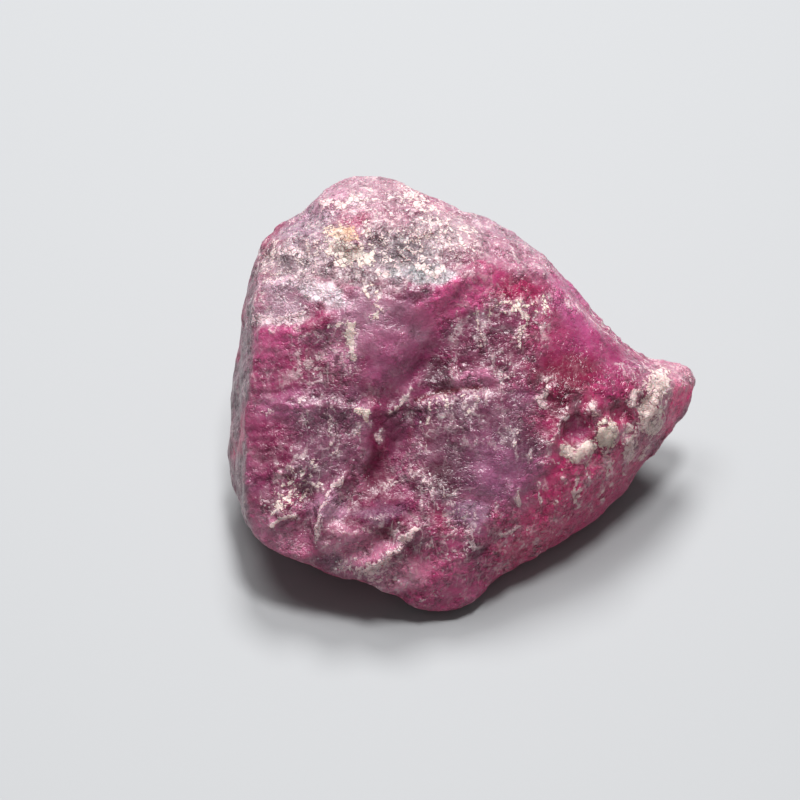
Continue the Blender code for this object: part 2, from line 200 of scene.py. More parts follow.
# Pale growths and residue. Each is a name, the line it lies along, its half width, how thickly it lies
# and how far its colour is cream and not pink.
CROWN_CRUST = [
    ("band across the crown",
     [(-11.0, 8.7), (-8.6, 9.1), (-6.4, 9.0), (-4.2, 9.4), (-2.0, 9.4), (0.3, 10.0)], 1.35, 0.77, 0.5),
    ("left corner", [(-11.4, 7.9), (-11.0, 9.6)], 0.8, 0.80, 0.5),
    ("brown foot of the band",
     [(-7.8, 8.3), (-6.4, 7.9), (-5.5, 7.4), (-4.8, 6.6), (-4.6, 5.8)], 0.70, 0.42, 0.8),
    ("under the band", [(-11.6, 7.2), (-9.6, 7.9), (-8.2, 7.8)], 0.6, 0.60, 0.4),
    ("white edge of the shelf", [(-2.0, 8.25), (-1.0, 7.85), (-0.7, 8.1)], 0.28, 1.3, 0.5),
    ("white spots", [(-4.5, 7.9), (-4.2, 7.8)], 0.25, 1.3, 0.5),
    ("yellow patch", [(-7.1, 10.3), (-6.5, 10.0)], 0.65, 1.2, 1.35),
    ("white patch below it", [(-7.2, 9.5), (-6.5, 9.1), (-5.6, 8.9)], 0.75, 1.3, 0.8),
    ("white patch", [(-10.6, 9.2), (-9.9, 9.3)], 0.50, 1.2, 0.3),
    ("right end of the band", [(-2.6, 10.0), (-1.0, 10.9), (0.6, 10.2)], 1.0, 0.84, 0.6),
    ("pale streak of the dome", [(-6.6, 12.4), (-5.8, 12.75), (-4.8, 12.6), (-3.9, 12.9)], 0.20, 1.1, 0.5),
    ("upper streak of the dome", [(-5.8, 13.3), (-5.0, 13.35)], 0.15, 1.1, 0.5),
    ("left streak of the dome", [(-8.2, 12.5), (-7.4, 12.5), (-6.9, 12.2)], 0.18, 1.3, 0.5),
    ("right flank of the dome", [(-2.8, 13.0), (-1.8, 12.5), (-1.2, 11.8), (-0.9, 11.2)], 0.60, 0.95, 0.6),
    ("left of the yellow patch", [(-5.4, 11.4), (-5.2, 10.6)], 0.40, 0.95, 0.6),
    ("dome's speckle", [(-7.6, 11.6), (-5.0, 11.4), (-2.8, 11.4)], 1.2, 0.62, 0.35),
    ("slope's speckle", [(0.8, 11.2), (2.6, 10.4), (4.4, 9.6), (6.0, 8.6)], 1.1, 0.50, 0.15),
    ("second ledge", [(-12.2, 5.0), (-10.8, 4.8), (-9.6, 5.1)], 0.40, 1.15, 0.25),
    ("over the second ledge", [(-12.2, 5.9), (-10.6, 6.0), (-9.4, 5.9)], 0.60, 0.72, 0.2),
]
FACE_PATCHES = [
    ("upright cream patch", [(-6.35, 4.45), (-6.32, 3.7)], 0.29, 1.7, 0.85),
    ("foot of the cream patch", [(-6.27, 3.7), (-6.2, 3.0), (-6.12, 2.4)], 0.15, 1.5, 0.7),
    ("head of the cream patch", [(-7.7, 4.45), (-7.0, 4.7)], 0.13, 1.2, 0.6),
    ("cream triangle", [(-5.3, 7.0), (-4.8, 6.4)], 0.40, 0.85, 0.9),
    ("foot of the cream triangle", [(-4.75, 6.3), (-4.65, 5.5), (-4.8, 4.9)], 0.24, 1.0, 0.8),
    ("small cream triangle", [(-5.9, -0.75), (-5.25, -0.85)], 0.14, 1.5, 0.9),
    ("point of the triangle", [(-5.5, -0.9), (-5.15, -1.6)], 0.13, 1.4, 0.9),
    ("cream sliver", [(-3.9, -0.75), (-3.3, -0.3), (-2.8, 0.2), (-2.45, 0.85)], 0.12, 1.2, 0.5),
    ("beige lip of the crack", [(-1.3, -0.2), (-0.2, -0.05), (0.8, 0.1), (1.9, 0.2)], 0.42, 0.66, 0.8),
    ("wisps hanging from the lip", [(-1.4, 0.0), (-1.5, -1.5)], 0.22, 0.80, 0.7),
    ("second wisps of the lip", [(-0.3, 0.0), (-0.4, -0.9)], 0.22, 0.75, 0.7),
    ("third wisps of the lip", [(1.2, 0.1), (1.0, -0.8)], 0.22, 0.70, 0.7),
    ("crumbs under the lip", [(-2.0, -0.6), (-0.6, -0.9), (0.9, -0.8)], 0.70, 0.55, 0.3),
    ("grey patch under the lip", [(-1.9, -1.2), (-1.7, -2.4), (-1.8, -3.2)], 0.40, 0.52, 0.3),
    ("pale wedge under the lip", [(0.2, -1.5), (0.9, -1.6)], 0.50, 0.50, 0.2),
    ("brown threads", [(1.8, 5.0), (2.4, 5.8), (3.6, 6.0), (4.5, 5.5), (5.7, 5.8)], 0.55, 0.84, 0.95),
    ("threads below", [(4.5, 5.2), (4.4, 4.5), (4.3, 3.5)], 0.34, 0.96, 0.7),
    ("left thread", [(1.8, 5.0), (1.5, 4.2), (1.9, 3.6)], 0.28, 0.85, 0.6),
    ("valley threads", [(0.7, 6.3), (0.3, 4.4), (0.1, 3.0), (0.3, 1.4)], 0.30, 0.46, 0.4),
    ("left valley threads", [(-0.5, 2.6), (-0.7, 1.4), (-1.6, 0.9)], 0.25, 0.36, 0.4),
    ("pale stain", [(3.0, 2.4), (3.1, 1.2)], 0.50, 0.72, 0.3),
    ("pale wedge", [(5.95, 1.3), (5.8, 0.6), (5.4, 0.1), (5.6, -0.35)], 0.22, 1.1, 0.4),
    ("slanting thread", [(3.3, -1.7), (3.9, -2.0), (4.3, -2.4)], 0.12, 1.1, 0.3),
    ("second slanting thread", [(5.9, -2.6), (6.4, -2.2)], 0.12, 1.1, 0.3),
    ("left rim of the pit", [(7.1, -0.95), (6.75, -1.6), (6.5, -2.3), (6.1, -3.0)], 0.14, 0.75, 0.3),
    ("upper rim of the pit", [(7.1, -0.7), (7.9, -0.4), (8.4, -0.9)], 0.12, 0.45, 0.3),
    ("crystals of the crest",
     [(7.4, 6.3), (9.0, 5.3), (10.3, 4.3), (11.6, 3.3), (12.8, 2.6)], 0.36, 0.66, 0.05),
    ("crystals of the upper edge", [(0.2, 12.3), (2.4, 11.4), (4.6, 10.2), (6.2, 8.4)], 0.45, 0.50, 0.05),
    ("right rim of the pit", [(8.75, -0.5), (9.05, -0.9)], 0.24, 1.30, 0.5),
    ("cream crescent", [(7.2, -3.2), (7.7, -3.5), (8.2, -3.4), (8.6, -3.0)], 0.34, 1.8, 0.8),
    ("cream disc", [(9.6, -2.05), (9.75, -2.25)], 0.60, 1.7, 1.0),
    ("under the disc", [(9.4, -2.9), (9.75, -3.5), (9.8, -4.6)], 0.18, 1.0, 0.6),
    ("cream patch by the disc", [(11.1, -2.0), (11.4, -2.8), (11.1, -3.5)], 0.42, 1.2, 0.6),
    ("cream patch of the edge", [(12.6, -3.1), (12.2, -3.8)], 0.22, 1.0, 0.6),
    ("cream patch of the crest", [(12.1, 1.0), (11.7, 0.4), (11.3, -0.2)], 0.26, 1.2, 0.6),
    ("crust of the tip", [(13.3, 1.2), (12.9, 0.3), (12.55, -0.5), (12.75, -1.6)], 0.68, 1.3, 0.7),
    ("speckle of the tip", [(12.2, 1.6), (13.6, 1.8), (15.0, 1.2)], 0.75, 0.62, 0.3),
    ("right of the tip's notch", [(11.0, 2.0), (12.2, 1.2)], 0.55, 0.50, 0.3),
    ("lower left crust", [(-9.7, -4.3), (-9.6, -4.9), (-10.1, -5.6), (-10.6, -6.2)], 0.85, 0.84, 0.7),
    ("right of the crust", [(-8.8, -4.2), (-8.6, -5.4)], 0.45, 0.80, 0.6),
    ("white curve", [(-11.3, -7.1), (-10.7, -6.5), (-9.8, -6.6), (-9.3, -6.0)], 0.15, 1.15, 0.7),
    ("white curve below", [(-11.3, -7.9), (-10.7, -7.45), (-9.8, -7.35)], 0.14, 1.3, 0.6),
    ("upright ridge",
     [(-6.7, -4.8), (-7.5, -5.4), (-7.8, -6.2), (-8.2, -7.0), (-8.4, -7.8), (-8.5, -9.2)], 0.17, 1.05, 0.4),
    ("left threads", [(-8.0, -0.3), (-7.6, -1.0), (-7.5, -2.4), (-7.2, -3.4)], 0.34, 0.72, 0.5),
    ("crumbs left of the threads", [(-9.1, -0.7), (-9.0, -1.9)], 0.35, 0.55, 0.4),
    ("grey crumbs by the growth line", [(-6.0, -2.0), (-5.9, -3.6)], 0.22, 0.62, 0.3),
    ("left stain", [(-9.0, -1.0), (-8.8, -2.2)], 0.55, 0.34, 0.3),
    ("line of the left crack", [(-10.0, 0.1), (-8.6, -0.1), (-7.2, -0.1), (-6.0, -0.3)], 0.09, 0.62, 0.5),
    ("pale scatter on the left", [(-11.9, -0.7), (-11.4, -0.8)], 0.22, 0.85, 0.3),
    ("pale scatter above it", [(-10.6, 0.8), (-9.4, 0.4), (-8.4, 1.2)], 0.60, 0.36, 0.3),
    ("upright fleck", [(-4.4, -1.9), (-4.55, -2.7)], 0.09, 1.0, 0.4),
    ("flecks of the hollow", [(-5.9, -1.6), (-5.8, -3.2)], 0.22, 0.60, 0.2),
    ("lip under the hollow", [(-3.2, -5.0), (-4.2, -5.4)], 0.18, 0.90, 0.3),
    ("head of the trail", [(-2.6, -4.4), (-1.9, -4.9), (-1.2, -5.8)], 0.60, 0.72, 0.3),
    ("trail", [(-0.9, -6.2), (0.0, -6.9), (0.7, -7.6), (1.1, -8.5)], 0.75, 0.74, 0.25),
    ("foot of the trail", [(-1.6, -9.2), (-0.4, -9.2), (0.6, -9.5)], 0.60, 0.70, 0.25),
    ("slanting ridge", [(-2.4, -8.1), (-3.1, -9.0), (-4.0, -9.9), (-5.1, -10.8)], 0.21, 1.25, 0.45),
    ("second slanting ridge", [(-2.6, -9.3), (-3.2, -10.0), (-4.2, -10.8)], 0.20, 0.80, 0.35),
    ("third slanting ridge", [(-5.9, -8.2), (-5.0, -7.5), (-4.4, -7.2)], 0.16, 0.55, 0.25),
    ("speckle of the lumps", [(-6.6, -8.2), (-4.4, -8.4), (-2.2, -7.8)], 0.9, 0.44, 0.2),
    ("speckle of the toe", [(-6.6, -10.2), (-5.0, -11.2), (-3.0, -11.4)], 0.70, 0.74, 0.4),
    ("crumbs over the corner", [(-7.9, -9.2), (-7.0, -10.0)], 0.45, 0.60, 0.5),
    ("bright streak of the toe", [(-1.9, -12.5), (-1.2, -12.3), (-0.4, -11.9)], 0.13, 0.90, 0.2),
    ("white dash", [(3.0, -8.5), (3.6, -8.35), (4.3, -8.1)], 0.13, 1.25, 0.4),
    ("level thread", [(5.2, -4.0), (6.4, -4.0)], 0.09, 0.85, 0.2),
    ("crumbs of the lower edge", [(2.7, -9.8), (4.0, -9.6), (5.0, -9.2)], 0.40, 0.50, 0.2),
    ("grey stain of the field", [(-0.6, -2.4), (0.4, -3.0)], 0.60, 0.30, 0.2),
]
STREAKS = [  # upright pale threads of the lower right flank: x, top, bottom, how thickly
    (4.1, -2.4, -3.9, 0.75), (4.2, -5.7, -6.6, 1.3), (5.6, -5.2, -6.5, 1.2), (6.0, -5.0, -5.8, 0.9),
    (7.1, -4.0, -5.2, 0.9), (7.8, -5.0, -6.4, 1.3), (8.1, -5.6, -6.8, 1.1), (8.7, -3.7, -5.3, 1.25),
    (9.6, -5.0, -6.6, 1.1), (9.8, -3.6, -4.8, 1.1), (10.2, -3.9, -4.7, 0.9), (10.3, -5.4, -6.2, 0.9),
    (6.6, -6.4, -7.2, 0.8), (3.0, -6.2, -7.0, 0.7), (5.4, -8.7, -9.3, 0.8), (11.2, -4.0, -4.8, 0.8),
    (7.3, -7.0, -7.6, 0.7), (8.9, -6.4, -7.2, 0.7), (4.9, -3.2, -3.9, 0.7), (6.2, -3.1, -3.9, 0.8),
]
STREAK_HALF_WIDTH, STREAK_CREAM = 0.11, 0.55
patches = CROWN_CRUST + FACE_PATCHES
patches += [("streak", [(x, top), (x - 0.12, (top + low) / 2), (x - 0.05, low)], STREAK_HALF_WIDTH, thickly,
             STREAK_CREAM) for x, top, low, thickly in STREAKS]
CREAM_ELSEWHERE = 0.10
STEADY = 0.35  # share of the raggedness that the outline of a thick growth keeps
THICK_GROWTH = 1.25
HALO = 0.30  # a thin coat lies round each growth,
FINE_THREAD = 0.15  # but not round one of this half width or less
pale = np.zeros(count)
cream = np.full(count, CREAM_ELSEWHERE)
steady = places[:, :2] + STEADY * (ragged - places[:, :2])
for _, line, half_width, thickly, creamy in patches:
    away = from_line(steady if thickly > THICK_GROWTH else ragged, line) / half_width
    halo = HALO if half_width > FINE_THREAD else 0.0
    growth = thickly * soft(2.3, 0.0, away) ** 0.7
    coat = halo * min(thickly, 1.0) * soft(5.0, 1.0, away)
    cover = np.maximum(growth, coat) * near
    cream = np.where(cover > pale, creamy, cream)
    pale = np.maximum(pale, cover)

# The thin frost of white threads that covers the rest: name, x, y, half width, half height, turn, and how
# thickly it lies.
FROST = [
    ("crown", -5.0, 10.6, 8.0, 4.0, 0, 0.42),
    ("rolled facet", -3.8, 3.6, 2.8, 2.6, -30, 0.15),
    ("left of the rolled facet", -7.9, 2.6, 2.3, 1.8, 0, 0.48),
    ("dark middle of the field", 0.0, -5.0, 1.2, 0.9, 0, 0.12),
    ("left strip", -11.4, -1.6, 1.6, 4.6, 0, 0.24),
    ("smooth raspberry slope", 8.6, 3.0, 3.0, 2.2, -35, 0.06),
    ("red core of the slope", 7.2, 1.5, 2.0, 1.5, 0, 0.04),
    ("under the brown threads", 5.0, 4.2, 1.2, 1.6, 0, 0.42),
    ("lower right flank", 7.0, -5.8, 4.6, 2.2, 35, 0.30),
    ("toe", -0.8, -11.0, 3.0, 1.6, 0, 0.28),
    ("lilac heart of the field", 3.4, -4.6, 2.2, 2.0, 0, 0.14),
    ("dark hollow", -4.5, -4.0, 1.1, 2.4, 10, 0.02),
    ("lower lumps", -5.0, -8.6, 3.6, 2.6, -20, 0.36),
    ("top of the lumps", -4.6, -7.0, 1.9, 0.9, 10, 0.16),
    ("lower right edge", 4.5, -9.4, 3.2, 1.2, 30, 0.36),
    ("upper field", 1.0, -1.8, 3.0, 1.6, 0, 0.34),
    ("right end of the field", 9.0, -1.6, 2.6, 2.0, 0, 0.24),
]
FROST_ELSEWHERE = 0.24
frost = np.full(count, FROST_ELSEWHERE)
for _, x, y, half_x, half_y, turn, share in FROST:
    inside = soft(1.3, 0.7, in_oval(ragged, x, y, half_x, half_y, turn)) * near
    frost += (share - frost) * inside

# Where the skin is worn dull: name, x, y, half width, half height, turn, and the share of the gloss that
# is gone.
DULL = [
    ("top of the lumps", -4.4, -7.1, 2.2, 1.1, 10, 0.90),
    ("grey of the crown", -4.0, 9.1, 2.8, 1.2, 5, 0.60),
    ("hollow", -4.2, -3.0, 1.2, 2.6, 10, 0.70),
]
dull = np.zeros(count)
for _, x, y, half_x, half_y, turn, share in DULL:
    dull = np.maximum(dull, share * soft(1.3, 0.7, in_oval(ragged, x, y, half_x, half_y, turn)) * near)

# The back and the underside are not worked part by part: crust and frost lie on them in patches.
patchy = swells(places, 3.2, 3, 47.0)
back_crust = soft(-0.05, -0.45, facing[:, 2]) * soft(0.15, 0.75, patchy)
frost += back_crust * 0.45 + 0.12 * patchy
cream = np.where(pale > 0.05, cream, cream + 0.5 * back_crust)
THICKEST = 1.35
pale = np.clip(np.maximum(pale, frost), 0.0, THICKEST)
CRUST_HEIGHT, CRUMB = 0.06, 0.40  # in mm, and the size of its crumbs
relief += CRUST_HEIGHT * soft(0.35, 1.0, pale) * (0.7 + 1.3 * swells(places, CRUMB, 3, 61.0))

# Cracks, grooves and small ridges: name, line, height in mm (a groove's is under 0), half width.
FINE_LINES = [
    ("crack", [(-2.2, -0.05), (-0.9, 0.38), (0.2, 0.60), (1.7, 0.67)], -0.03, 0.10),
    ("hair line of the crack", [(2.3, 0.68), (4.5, 0.72), (6.5, 0.66), (9.6, 0.68)], 0.05, 0.10),
    ("left crack", [(-10.2, 0.0), (-8.0, -0.08), (-5.9, -0.35)], -0.12, 0.12),
    ("sliver", [(-3.9, -0.8), (-3.2, -0.2), (-2.4, 0.9)], 0.05, 0.15),
    ("left growth line", [(-6.05, 1.6), (-6.0, -5.6)], -0.06, 0.08),
    ("right growth line", [(-5.3, -0.4), (-5.25, -4.4)], -0.05, 0.08),
    ("floor of the hollow", [(-2.7, -0.8), (-3.1, -2.2), (-3.7, -3.4)], 0.22, 0.60),
    ("fold of the hollow", [(-4.2, -1.0), (-4.3, -2.6)], -0.06, 0.22),
    ("red groove", [(-6.4, -9.6), (-5.2, -9.5), (-4.0, -8.8)], -0.07, 0.25),
    ("lower red groove", [(-5.6, -10.6), (-4.4, -10.2), (-3.4, -10.3)], -0.05, 0.20),
    ("left of the upright ridge", [(-7.3, -5.0), (-8.3, -6.6), (-9.0, -7.8), (-9.0, -9.0)], -0.07, 0.30),
    ("rim of the pit", [(7.1, -1.0), (6.6, -1.7), (6.4, -2.6)], 0.07, 0.20),
    ("upright ridge", [(-6.7, -4.8), (-7.5, -5.4), (-7.8, -6.2), (-8.2, -7.0), (-8.5, -8.6)], 0.07, 0.20),
    ("slanting ridge", [(-2.4, -8.1), (-3.1, -9.0), (-4.0, -9.9), (-5.1, -10.8)], 0.12, 0.25),
    ("pink lump", [(-7.5, -8.4), (-7.2, -8.4)], 0.16, 0.50),
]
for _, line, height, half_width in FINE_LINES:
    relief += height * soft(1.8, 0.3, from_line(ragged, line) / half_width) * near
STRIA_HALF_WIDTH = 0.10
CROWN_STRIAE, CROWN_STRIA_GAP, CROWN_STRIA_DEPTH = 6, 0.24, 0.09  # fine curved steps at the crown's front
for number in range(CROWN_STRIAE):
    level = 6.05 + CROWN_STRIA_GAP * number
    stria = [(-3.9, level + 0.35), (-3.0, level), (-1.9, level + 0.05), (-0.9, level + 0.4)]
    relief -= CROWN_STRIA_DEPTH * soft(1.6, 0.3, from_line(ragged, stria) / STRIA_HALF_WIDTH) * near
STRIP_STRIAE, STRIP_STRIA_GAP, STRIP_STRIA_DEPTH = 15, 0.62, 0.05  # level growth lines of the left strip
for number in range(STRIP_STRIAE):
    level = 3.6 - STRIP_STRIA_GAP * number
    stria = [(-12.8, level), (-11.4, level - 0.08), (-10.0 - 0.13 * (number % 4), level + 0.06)]
    relief -= STRIP_STRIA_DEPTH * soft(1.6, 0.3, from_line(ragged, stria) / STRIA_HALF_WIDTH) * near
PITS = [  # name, x, y, radius, depth
    ("pit in the field", 7.8, -1.9, 0.75, 0.07), ("pit by the crest", 10.5, -0.9, 0.50, 0.12),
    ("pit of the tip", 12.2, -0.6, 0.35, 0.10), ("pit in the crust", -10.1, -5.2, 0.30, 0.10),
    ("second pit in the crust", -9.4, -4.5, 0.25, 0.10), ("pit of the corner", -11.7, 9.0, 0.35, 0.14),
]
for _, x, y, radius, depth in PITS:
    relief -= depth * soft(1.15, 0.6, in_oval(ragged, x, y, radius, radius)) * near
CREST_TEETH = [  # little crystals standing along the upper right edge: x, y, radius, height
    (8.7, 6.0, 0.30, 0.08), (9.6, 5.0, 0.22, 0.10), (10.1, 4.5, 0.26, 0.12), (10.9, 3.9, 0.20, 0.09),
    (11.4, 3.5, 0.28, 0.12), (12.3, 2.8, 0.22, 0.10), (7.7, 7.4, 0.35, 0.06),
]
for x, y, radius, height in CREST_TEETH:
    relief += height * soft(1.2, 0.2, in_oval(places, x, y, radius, radius))

off_base = soft(0.05, 0.8, skin[:, 2] / MM)  # the flat that the stone lies on stays flat
skin = skin + normals * (relief * off_base)[:, None] * MM
INSET = 0.02 * MM  # the skin stays this far inside the solid's box
skin = np.clip(skin, np.array(cad_box[0]) + (INSET, INSET, 0.0), np.array(cad_box[1]) - INSET)
skin_mesh.vertices.foreach_set("co", skin.ravel())
skin_mesh.update()
skin_mesh.shade_smooth()


def tone(red, green, blue):
    """A colour given from 0 to 255, as light."""
    return np.array([(part / 255.0 / 12.92) if part <= 10 else ((part / 255.0 + 0.055) / 1.055) ** 2.4
                     for part in (red, green, blue)])


# The stone's colour, part by part, as it is under the frost; some tints also paint light and shade, as said
# on their lines. Each is a name, colour, x, y, half width, half height, turn, and how strongly it covers
# what is there.
BODY = tone(156, 64, 104)
VIOLET_TURN, RED_TURN = tone(128, 76, 112), tone(176, 44, 94)
TINTS = [
    ("lower right flank", (222, 46, 120), 7.6, -5.4, 5.0, 3.6, 30, 0.9),
    ("lower right edge", (218, 52, 114), 4.5, -9.6, 3.2, 1.1, 30, 0.8),
    ("toe", (217, 72, 136), -0.5, -11.2, 3.6, 2.4, 0, 0.8),
    ("purple field", (117, 67, 91), 1.6, -2.6, 4.2, 3.4, -20, 0.8),
    ("dark middle of the field", (71, 8, 38), -0.2, -5.0, 1.6, 1.0, 0, 0.8),
    ("lilac heart of the field", (170, 98, 138), 3.2, -4.4, 2.4, 2.4, 30, 0.85),
    ("right end of the field", (178, 42, 96), 9.2, -1.0, 3.6, 2.4, 0, 0.85),
    ("left strip", (150, 54, 98), -11.2, -1.0, 2.0, 5.4, 0, 0.85),
    ("deep red under the ledge", (196, 80, 132), -11.0, 3.7, 2.4, 0.9, 5, 0.9),
    ("deep red above the left field", (160, 32, 92), -8.6, 4.9, 1.4, 0.5, 20, 0.8),
    ("purple grey of the left field", (126, 74, 100), -7.8, -2.4, 2.0, 3.4, 0, 0.75),
    # Painted light: the lower left corner and the part left of the toe face down, away from the lamps, and
    # are drawn lighter for the fill light they lack.
    ("lower left corner", (202, 113, 150), -10.9, -8.4, 2.4, 1.2, -20, 0.85),
    ("left of the toe", (254, 158, 193), -3.2, -10.9, 1.8, 1.1, 20, 0.8),
    ("lower lumps", (111, 36, 66), -5.0, -8.2, 3.2, 2.2, -20, 0.7),
    ("pink lump", (180, 110, 136), -7.35, -8.4, 0.65, 0.6, 0, 0.95),
    ("top of the lumps", (116, 64, 95), -4.4, -7.0, 1.7, 0.7, 10, 0.85),
    ("grooves of the lumps", (232, 138, 176), -5.6, -9.2, 2.0, 0.8, 0, 0.8),
    ("hollow", (114, 30, 64), -4.6, -4.1, 1.2, 2.1, 10, 0.9),
    ("dark wall of the hollow", (140, 64, 98), -3.4, -1.9, 0.9, 2.0, 5, 0.9),
    ("left wall of the hollow", (190, 110, 146), -5.6, -2.6, 0.5, 2.2, 0, 0.6),
    ("rolled facet", (184, 128, 154), -4.0, 4.6, 3.4, 1.9, -20, 0.85),
    ("foot of the rolled facet", (180, 88, 132), -3.0, 2.2, 2.6, 1.6, -35, 0.85),
    ("upper right of the rolled facet", (128, 62, 94), -3.0, 5.0, 1.0, 0.7, -20, 0.7),
    ("valley", (148, 48, 97), -0.8, 3.4, 0.9, 3.8, -28, 0.85),
    ("right of the valley", (120, 50, 80), 2.2, 3.2, 2.6, 2.4, 0, 0.75),
    ("deep red of the upper right", (174, 27, 88), 3.6, 7.0, 2.9, 1.0, -5, 0.9),
    # Painted light: the head of the valley is drawn light to lift the shade of the band under the crown's
    # right end.
    ("head of the valley", (242, 98, 162), 0.4, 6.3, 2.6, 1.2, 30, 0.85),
    ("raspberry slope", (164, 50, 104), 8.4, 3.0, 3.4, 2.0, -35, 0.9),
    ("red core of the slope", (122, 5, 50), 7.2, 1.8, 2.1, 1.3, 0, 0.85),
    ("band of the crest", (200, 92, 146), 7.8, 6.2, 1.3, 2.6, 35, 0.8),
    ("frosted slope", (188, 120, 147), 3.2, 9.8, 4.2, 1.5, -20, 0.85),
    ("crown", (166, 140, 146), -5.4, 9.2, 7.0, 2.2, 3, 0.75),
    ("grey of the crown", (114, 106, 111), -3.0, 8.9, 2.6, 1.2, 5, 0.75),
    ("grey of the crown, left", (161, 144, 151), -9.8, 8.6, 1.8, 1.2, 0, 0.6),
    ("right of the crown", (182, 154, 161), -0.4, 10.7, 2.0, 1.2, 0, 0.7),
    ("left shoulder", (176, 146, 164), -9.2, 11.0, 1.7, 1.0, 30, 0.8),
    ("fold of the left shoulder", (146, 108, 126), -8.8, 11.0, 0.7, 0.6, 0, 0.6),
    # Painted light: these two tints lift the shade of the crevice above the crack's end and the shade under
    # the sliver.
    ("above the crack's end", (220, 134, 172), 1.5, 1.25, 1.5, 0.4, 5, 0.8),
    ("shade under the sliver", (160, 82, 116), -3.2, -0.7, 0.8, 0.35, 40, 0.8),
    ("dark right of the field", (70, 16, 44), 4.2, -2.7, 1.7, 0.9, -10, 0.7),
    ("dark left of the pit", (106, 10, 50), 7.0, -0.2, 0.9, 1.3, 0, 0.8),
    ("beside the rolled facet", (214, 136, 168), -7.2, 2.9, 1.1, 1.0, 0, 0.7),
    ("dark patch of the left strip", (114, 26, 66), -11.3, -3.2, 1.2, 0.9, 0, 0.7),
    ("light patch of the left strip", (189, 106, 148), -10.4, -0.5, 1.8, 0.9, 0, 0.7),
    ("left of the lilac facet", (204, 172, 188), -10.9, 7.0, 1.2, 0.8, 0, 0.8),
    ("between the facets", (83, 41, 54), -5.3, 7.2, 0.9, 0.7, 0, 0.7),
    ("foot of the upper right", (178, 68, 109), 5.8, 4.2, 1.3, 1.2, 0, 0.6),
    ("grey of the trail", (200, 150, 184), 1.0, -7.2, 1.2, 0.8, 0, 0.7),
    ("dark under the trail", (81, 14, 52), 1.2, -9.2, 1.0, 0.7, 0, 0.7),
    ("dark of the corner", (94, 36, 57), -11.2, -6.8, 0.9, 0.7, 0, 0.7),
    ("left of the lumps", (212, 150, 182), -7.5, -6.8, 1.1, 0.9, 0, 0.7),
    ("dark foot of the valley", (76, 16, 44), -0.9, 1.3, 1.0, 0.9, -20, 0.8),
    ("dome", (187, 145, 159), -5.0, 13.1, 3.6, 1.4, 0, 0.85),
    ("pink spot of the dome", (206, 147, 172), -7.2, 12.9, 0.6, 0.4, 20, 0.9),
    ("red break under the dome", (178, 54, 102), -5.9, 10.9, 0.8, 0.9, 0, 0.6),
    # Partly the facet's pale mauve, partly a painted sheen of the light from above on it.
    ("left lilac facet", (248, 226, 236), -8.1, 6.45, 1.9, 0.55, -18, 0.9),
    ("front lilac facet", (165, 164, 168), -1.9, 7.65, 2.2, 0.45, -3, 0.9),
    ("ledge", (191, 155, 172), -10.8, 5.5, 1.9, 0.9, 5, 0.8),
    ("crystals of the crest", (168, 61, 109), 10.3, 4.5, 3.6, 0.55, -37, 0.8),
    ("upper edge", (180, 140, 157), 2.8, 11.2, 3.8, 0.8, -28, 0.8),
    ("tip", (202, 140, 160), 14.4, 1.3, 1.8, 1.3, -20, 0.85),
    # Painted light: the tip's underside lies in shade and is drawn near full brightness for the light it
    # lacks.
    ("under the tip's crust", (254, 62, 140), 14.5, -0.7, 0.9, 1.8, -35, 0.95),
    ("bottom of the pit", (184, 70, 122), 7.85, -1.9, 0.8, 0.8, 0, 0.9),
    ("olive edge of the crescent", (100, 68, 48), 8.0, -2.95, 0.7, 0.15, 5, 0.8),
]
body = np.tile(BODY, (count, 1))
turns = swells(places, 2.4, 3, 71.0)
body += (VIOLET_TURN - body) * (0.5 * soft(0.0, 0.8, turns))[:, None]
body += (RED_TURN - body) * (0.5 * soft(0.0, 0.8, -turns))[:, None]
for _, colour, x, y, half_x, half_y, turn, strength in TINTS:
    cover = strength * soft(1.45, 0.55, in_oval(wandering, x, y, half_x, half_y, turn)) * near
    body += (tone(*colour) - body) * cover[:, None]
RIM_GLOW_RED = tone(230, 84, 132)  # painted light: the thin lower rim is drawn a lighter red, for the light from the pale floor that shines through it and off it
rim = soft(0.50, 0.15, facing[:, 2]) * near * soft(0.0, -2.5, places[:, 1])
body += (RIM_GLOW_RED - body) * (0.70 * rim)[:, None]
CRACK_BROWN = tone(116, 30, 46)
DARK_LINES = [  # name, line, half width, how dark
    ("crack", [(-2.2, -0.05), (-0.9, 0.38), (0.2, 0.60), (1.7, 0.67)], 0.12, 0.75),
    ("wall of the hollow", [(-2.5, -0.5), (-2.4, -1.6), (-2.6, -2.6)], 0.12, 0.30),
    ("olive edge of the crescent", [(7.2, -2.75), (8.0, -2.85), (8.6, -2.5)], 0.10, 0.50),
    ("edge of the disc", [(8.95, -2.2), (9.2, -1.7), (9.8, -1.55)], 0.10, 0.45),
]
for _, line, half_width, dark in DARK_LINES:
    cover = dark * soft(2.0, 0.4, from_line(steady, line) / half_width) * near
    body += (CRACK_BROWN - body) * cover[:, None]
    pale *= 1.0 - cover
FLANK_GREY, BACK_GREY = tone(132, 108, 118), tone(150, 124, 130)
flank = soft(0.60, 0.95, -facing[:, 0] + 0.20 * patchy) * soft(-12.2, -12.9, places[:, 0])
flank *= soft(-0.75, 0.15, patchy + 0.5 * turns)
body += (FLANK_GREY - body) * (0.85 * flank)[:, None]
pale = np.maximum(pale, 0.38 * flank)
body += (BACK_GREY - body) * (0.6 * back_crust)[:, None]
DEEP, DENT_SHADE = 0.30, 0.35  # painted shade: a dent is drawn darker by this share where it is this deep, in mm
body *= (1.0 - DENT_SHADE * np.clip(-relief / DEEP, 0.0, 1.0))[:, None]

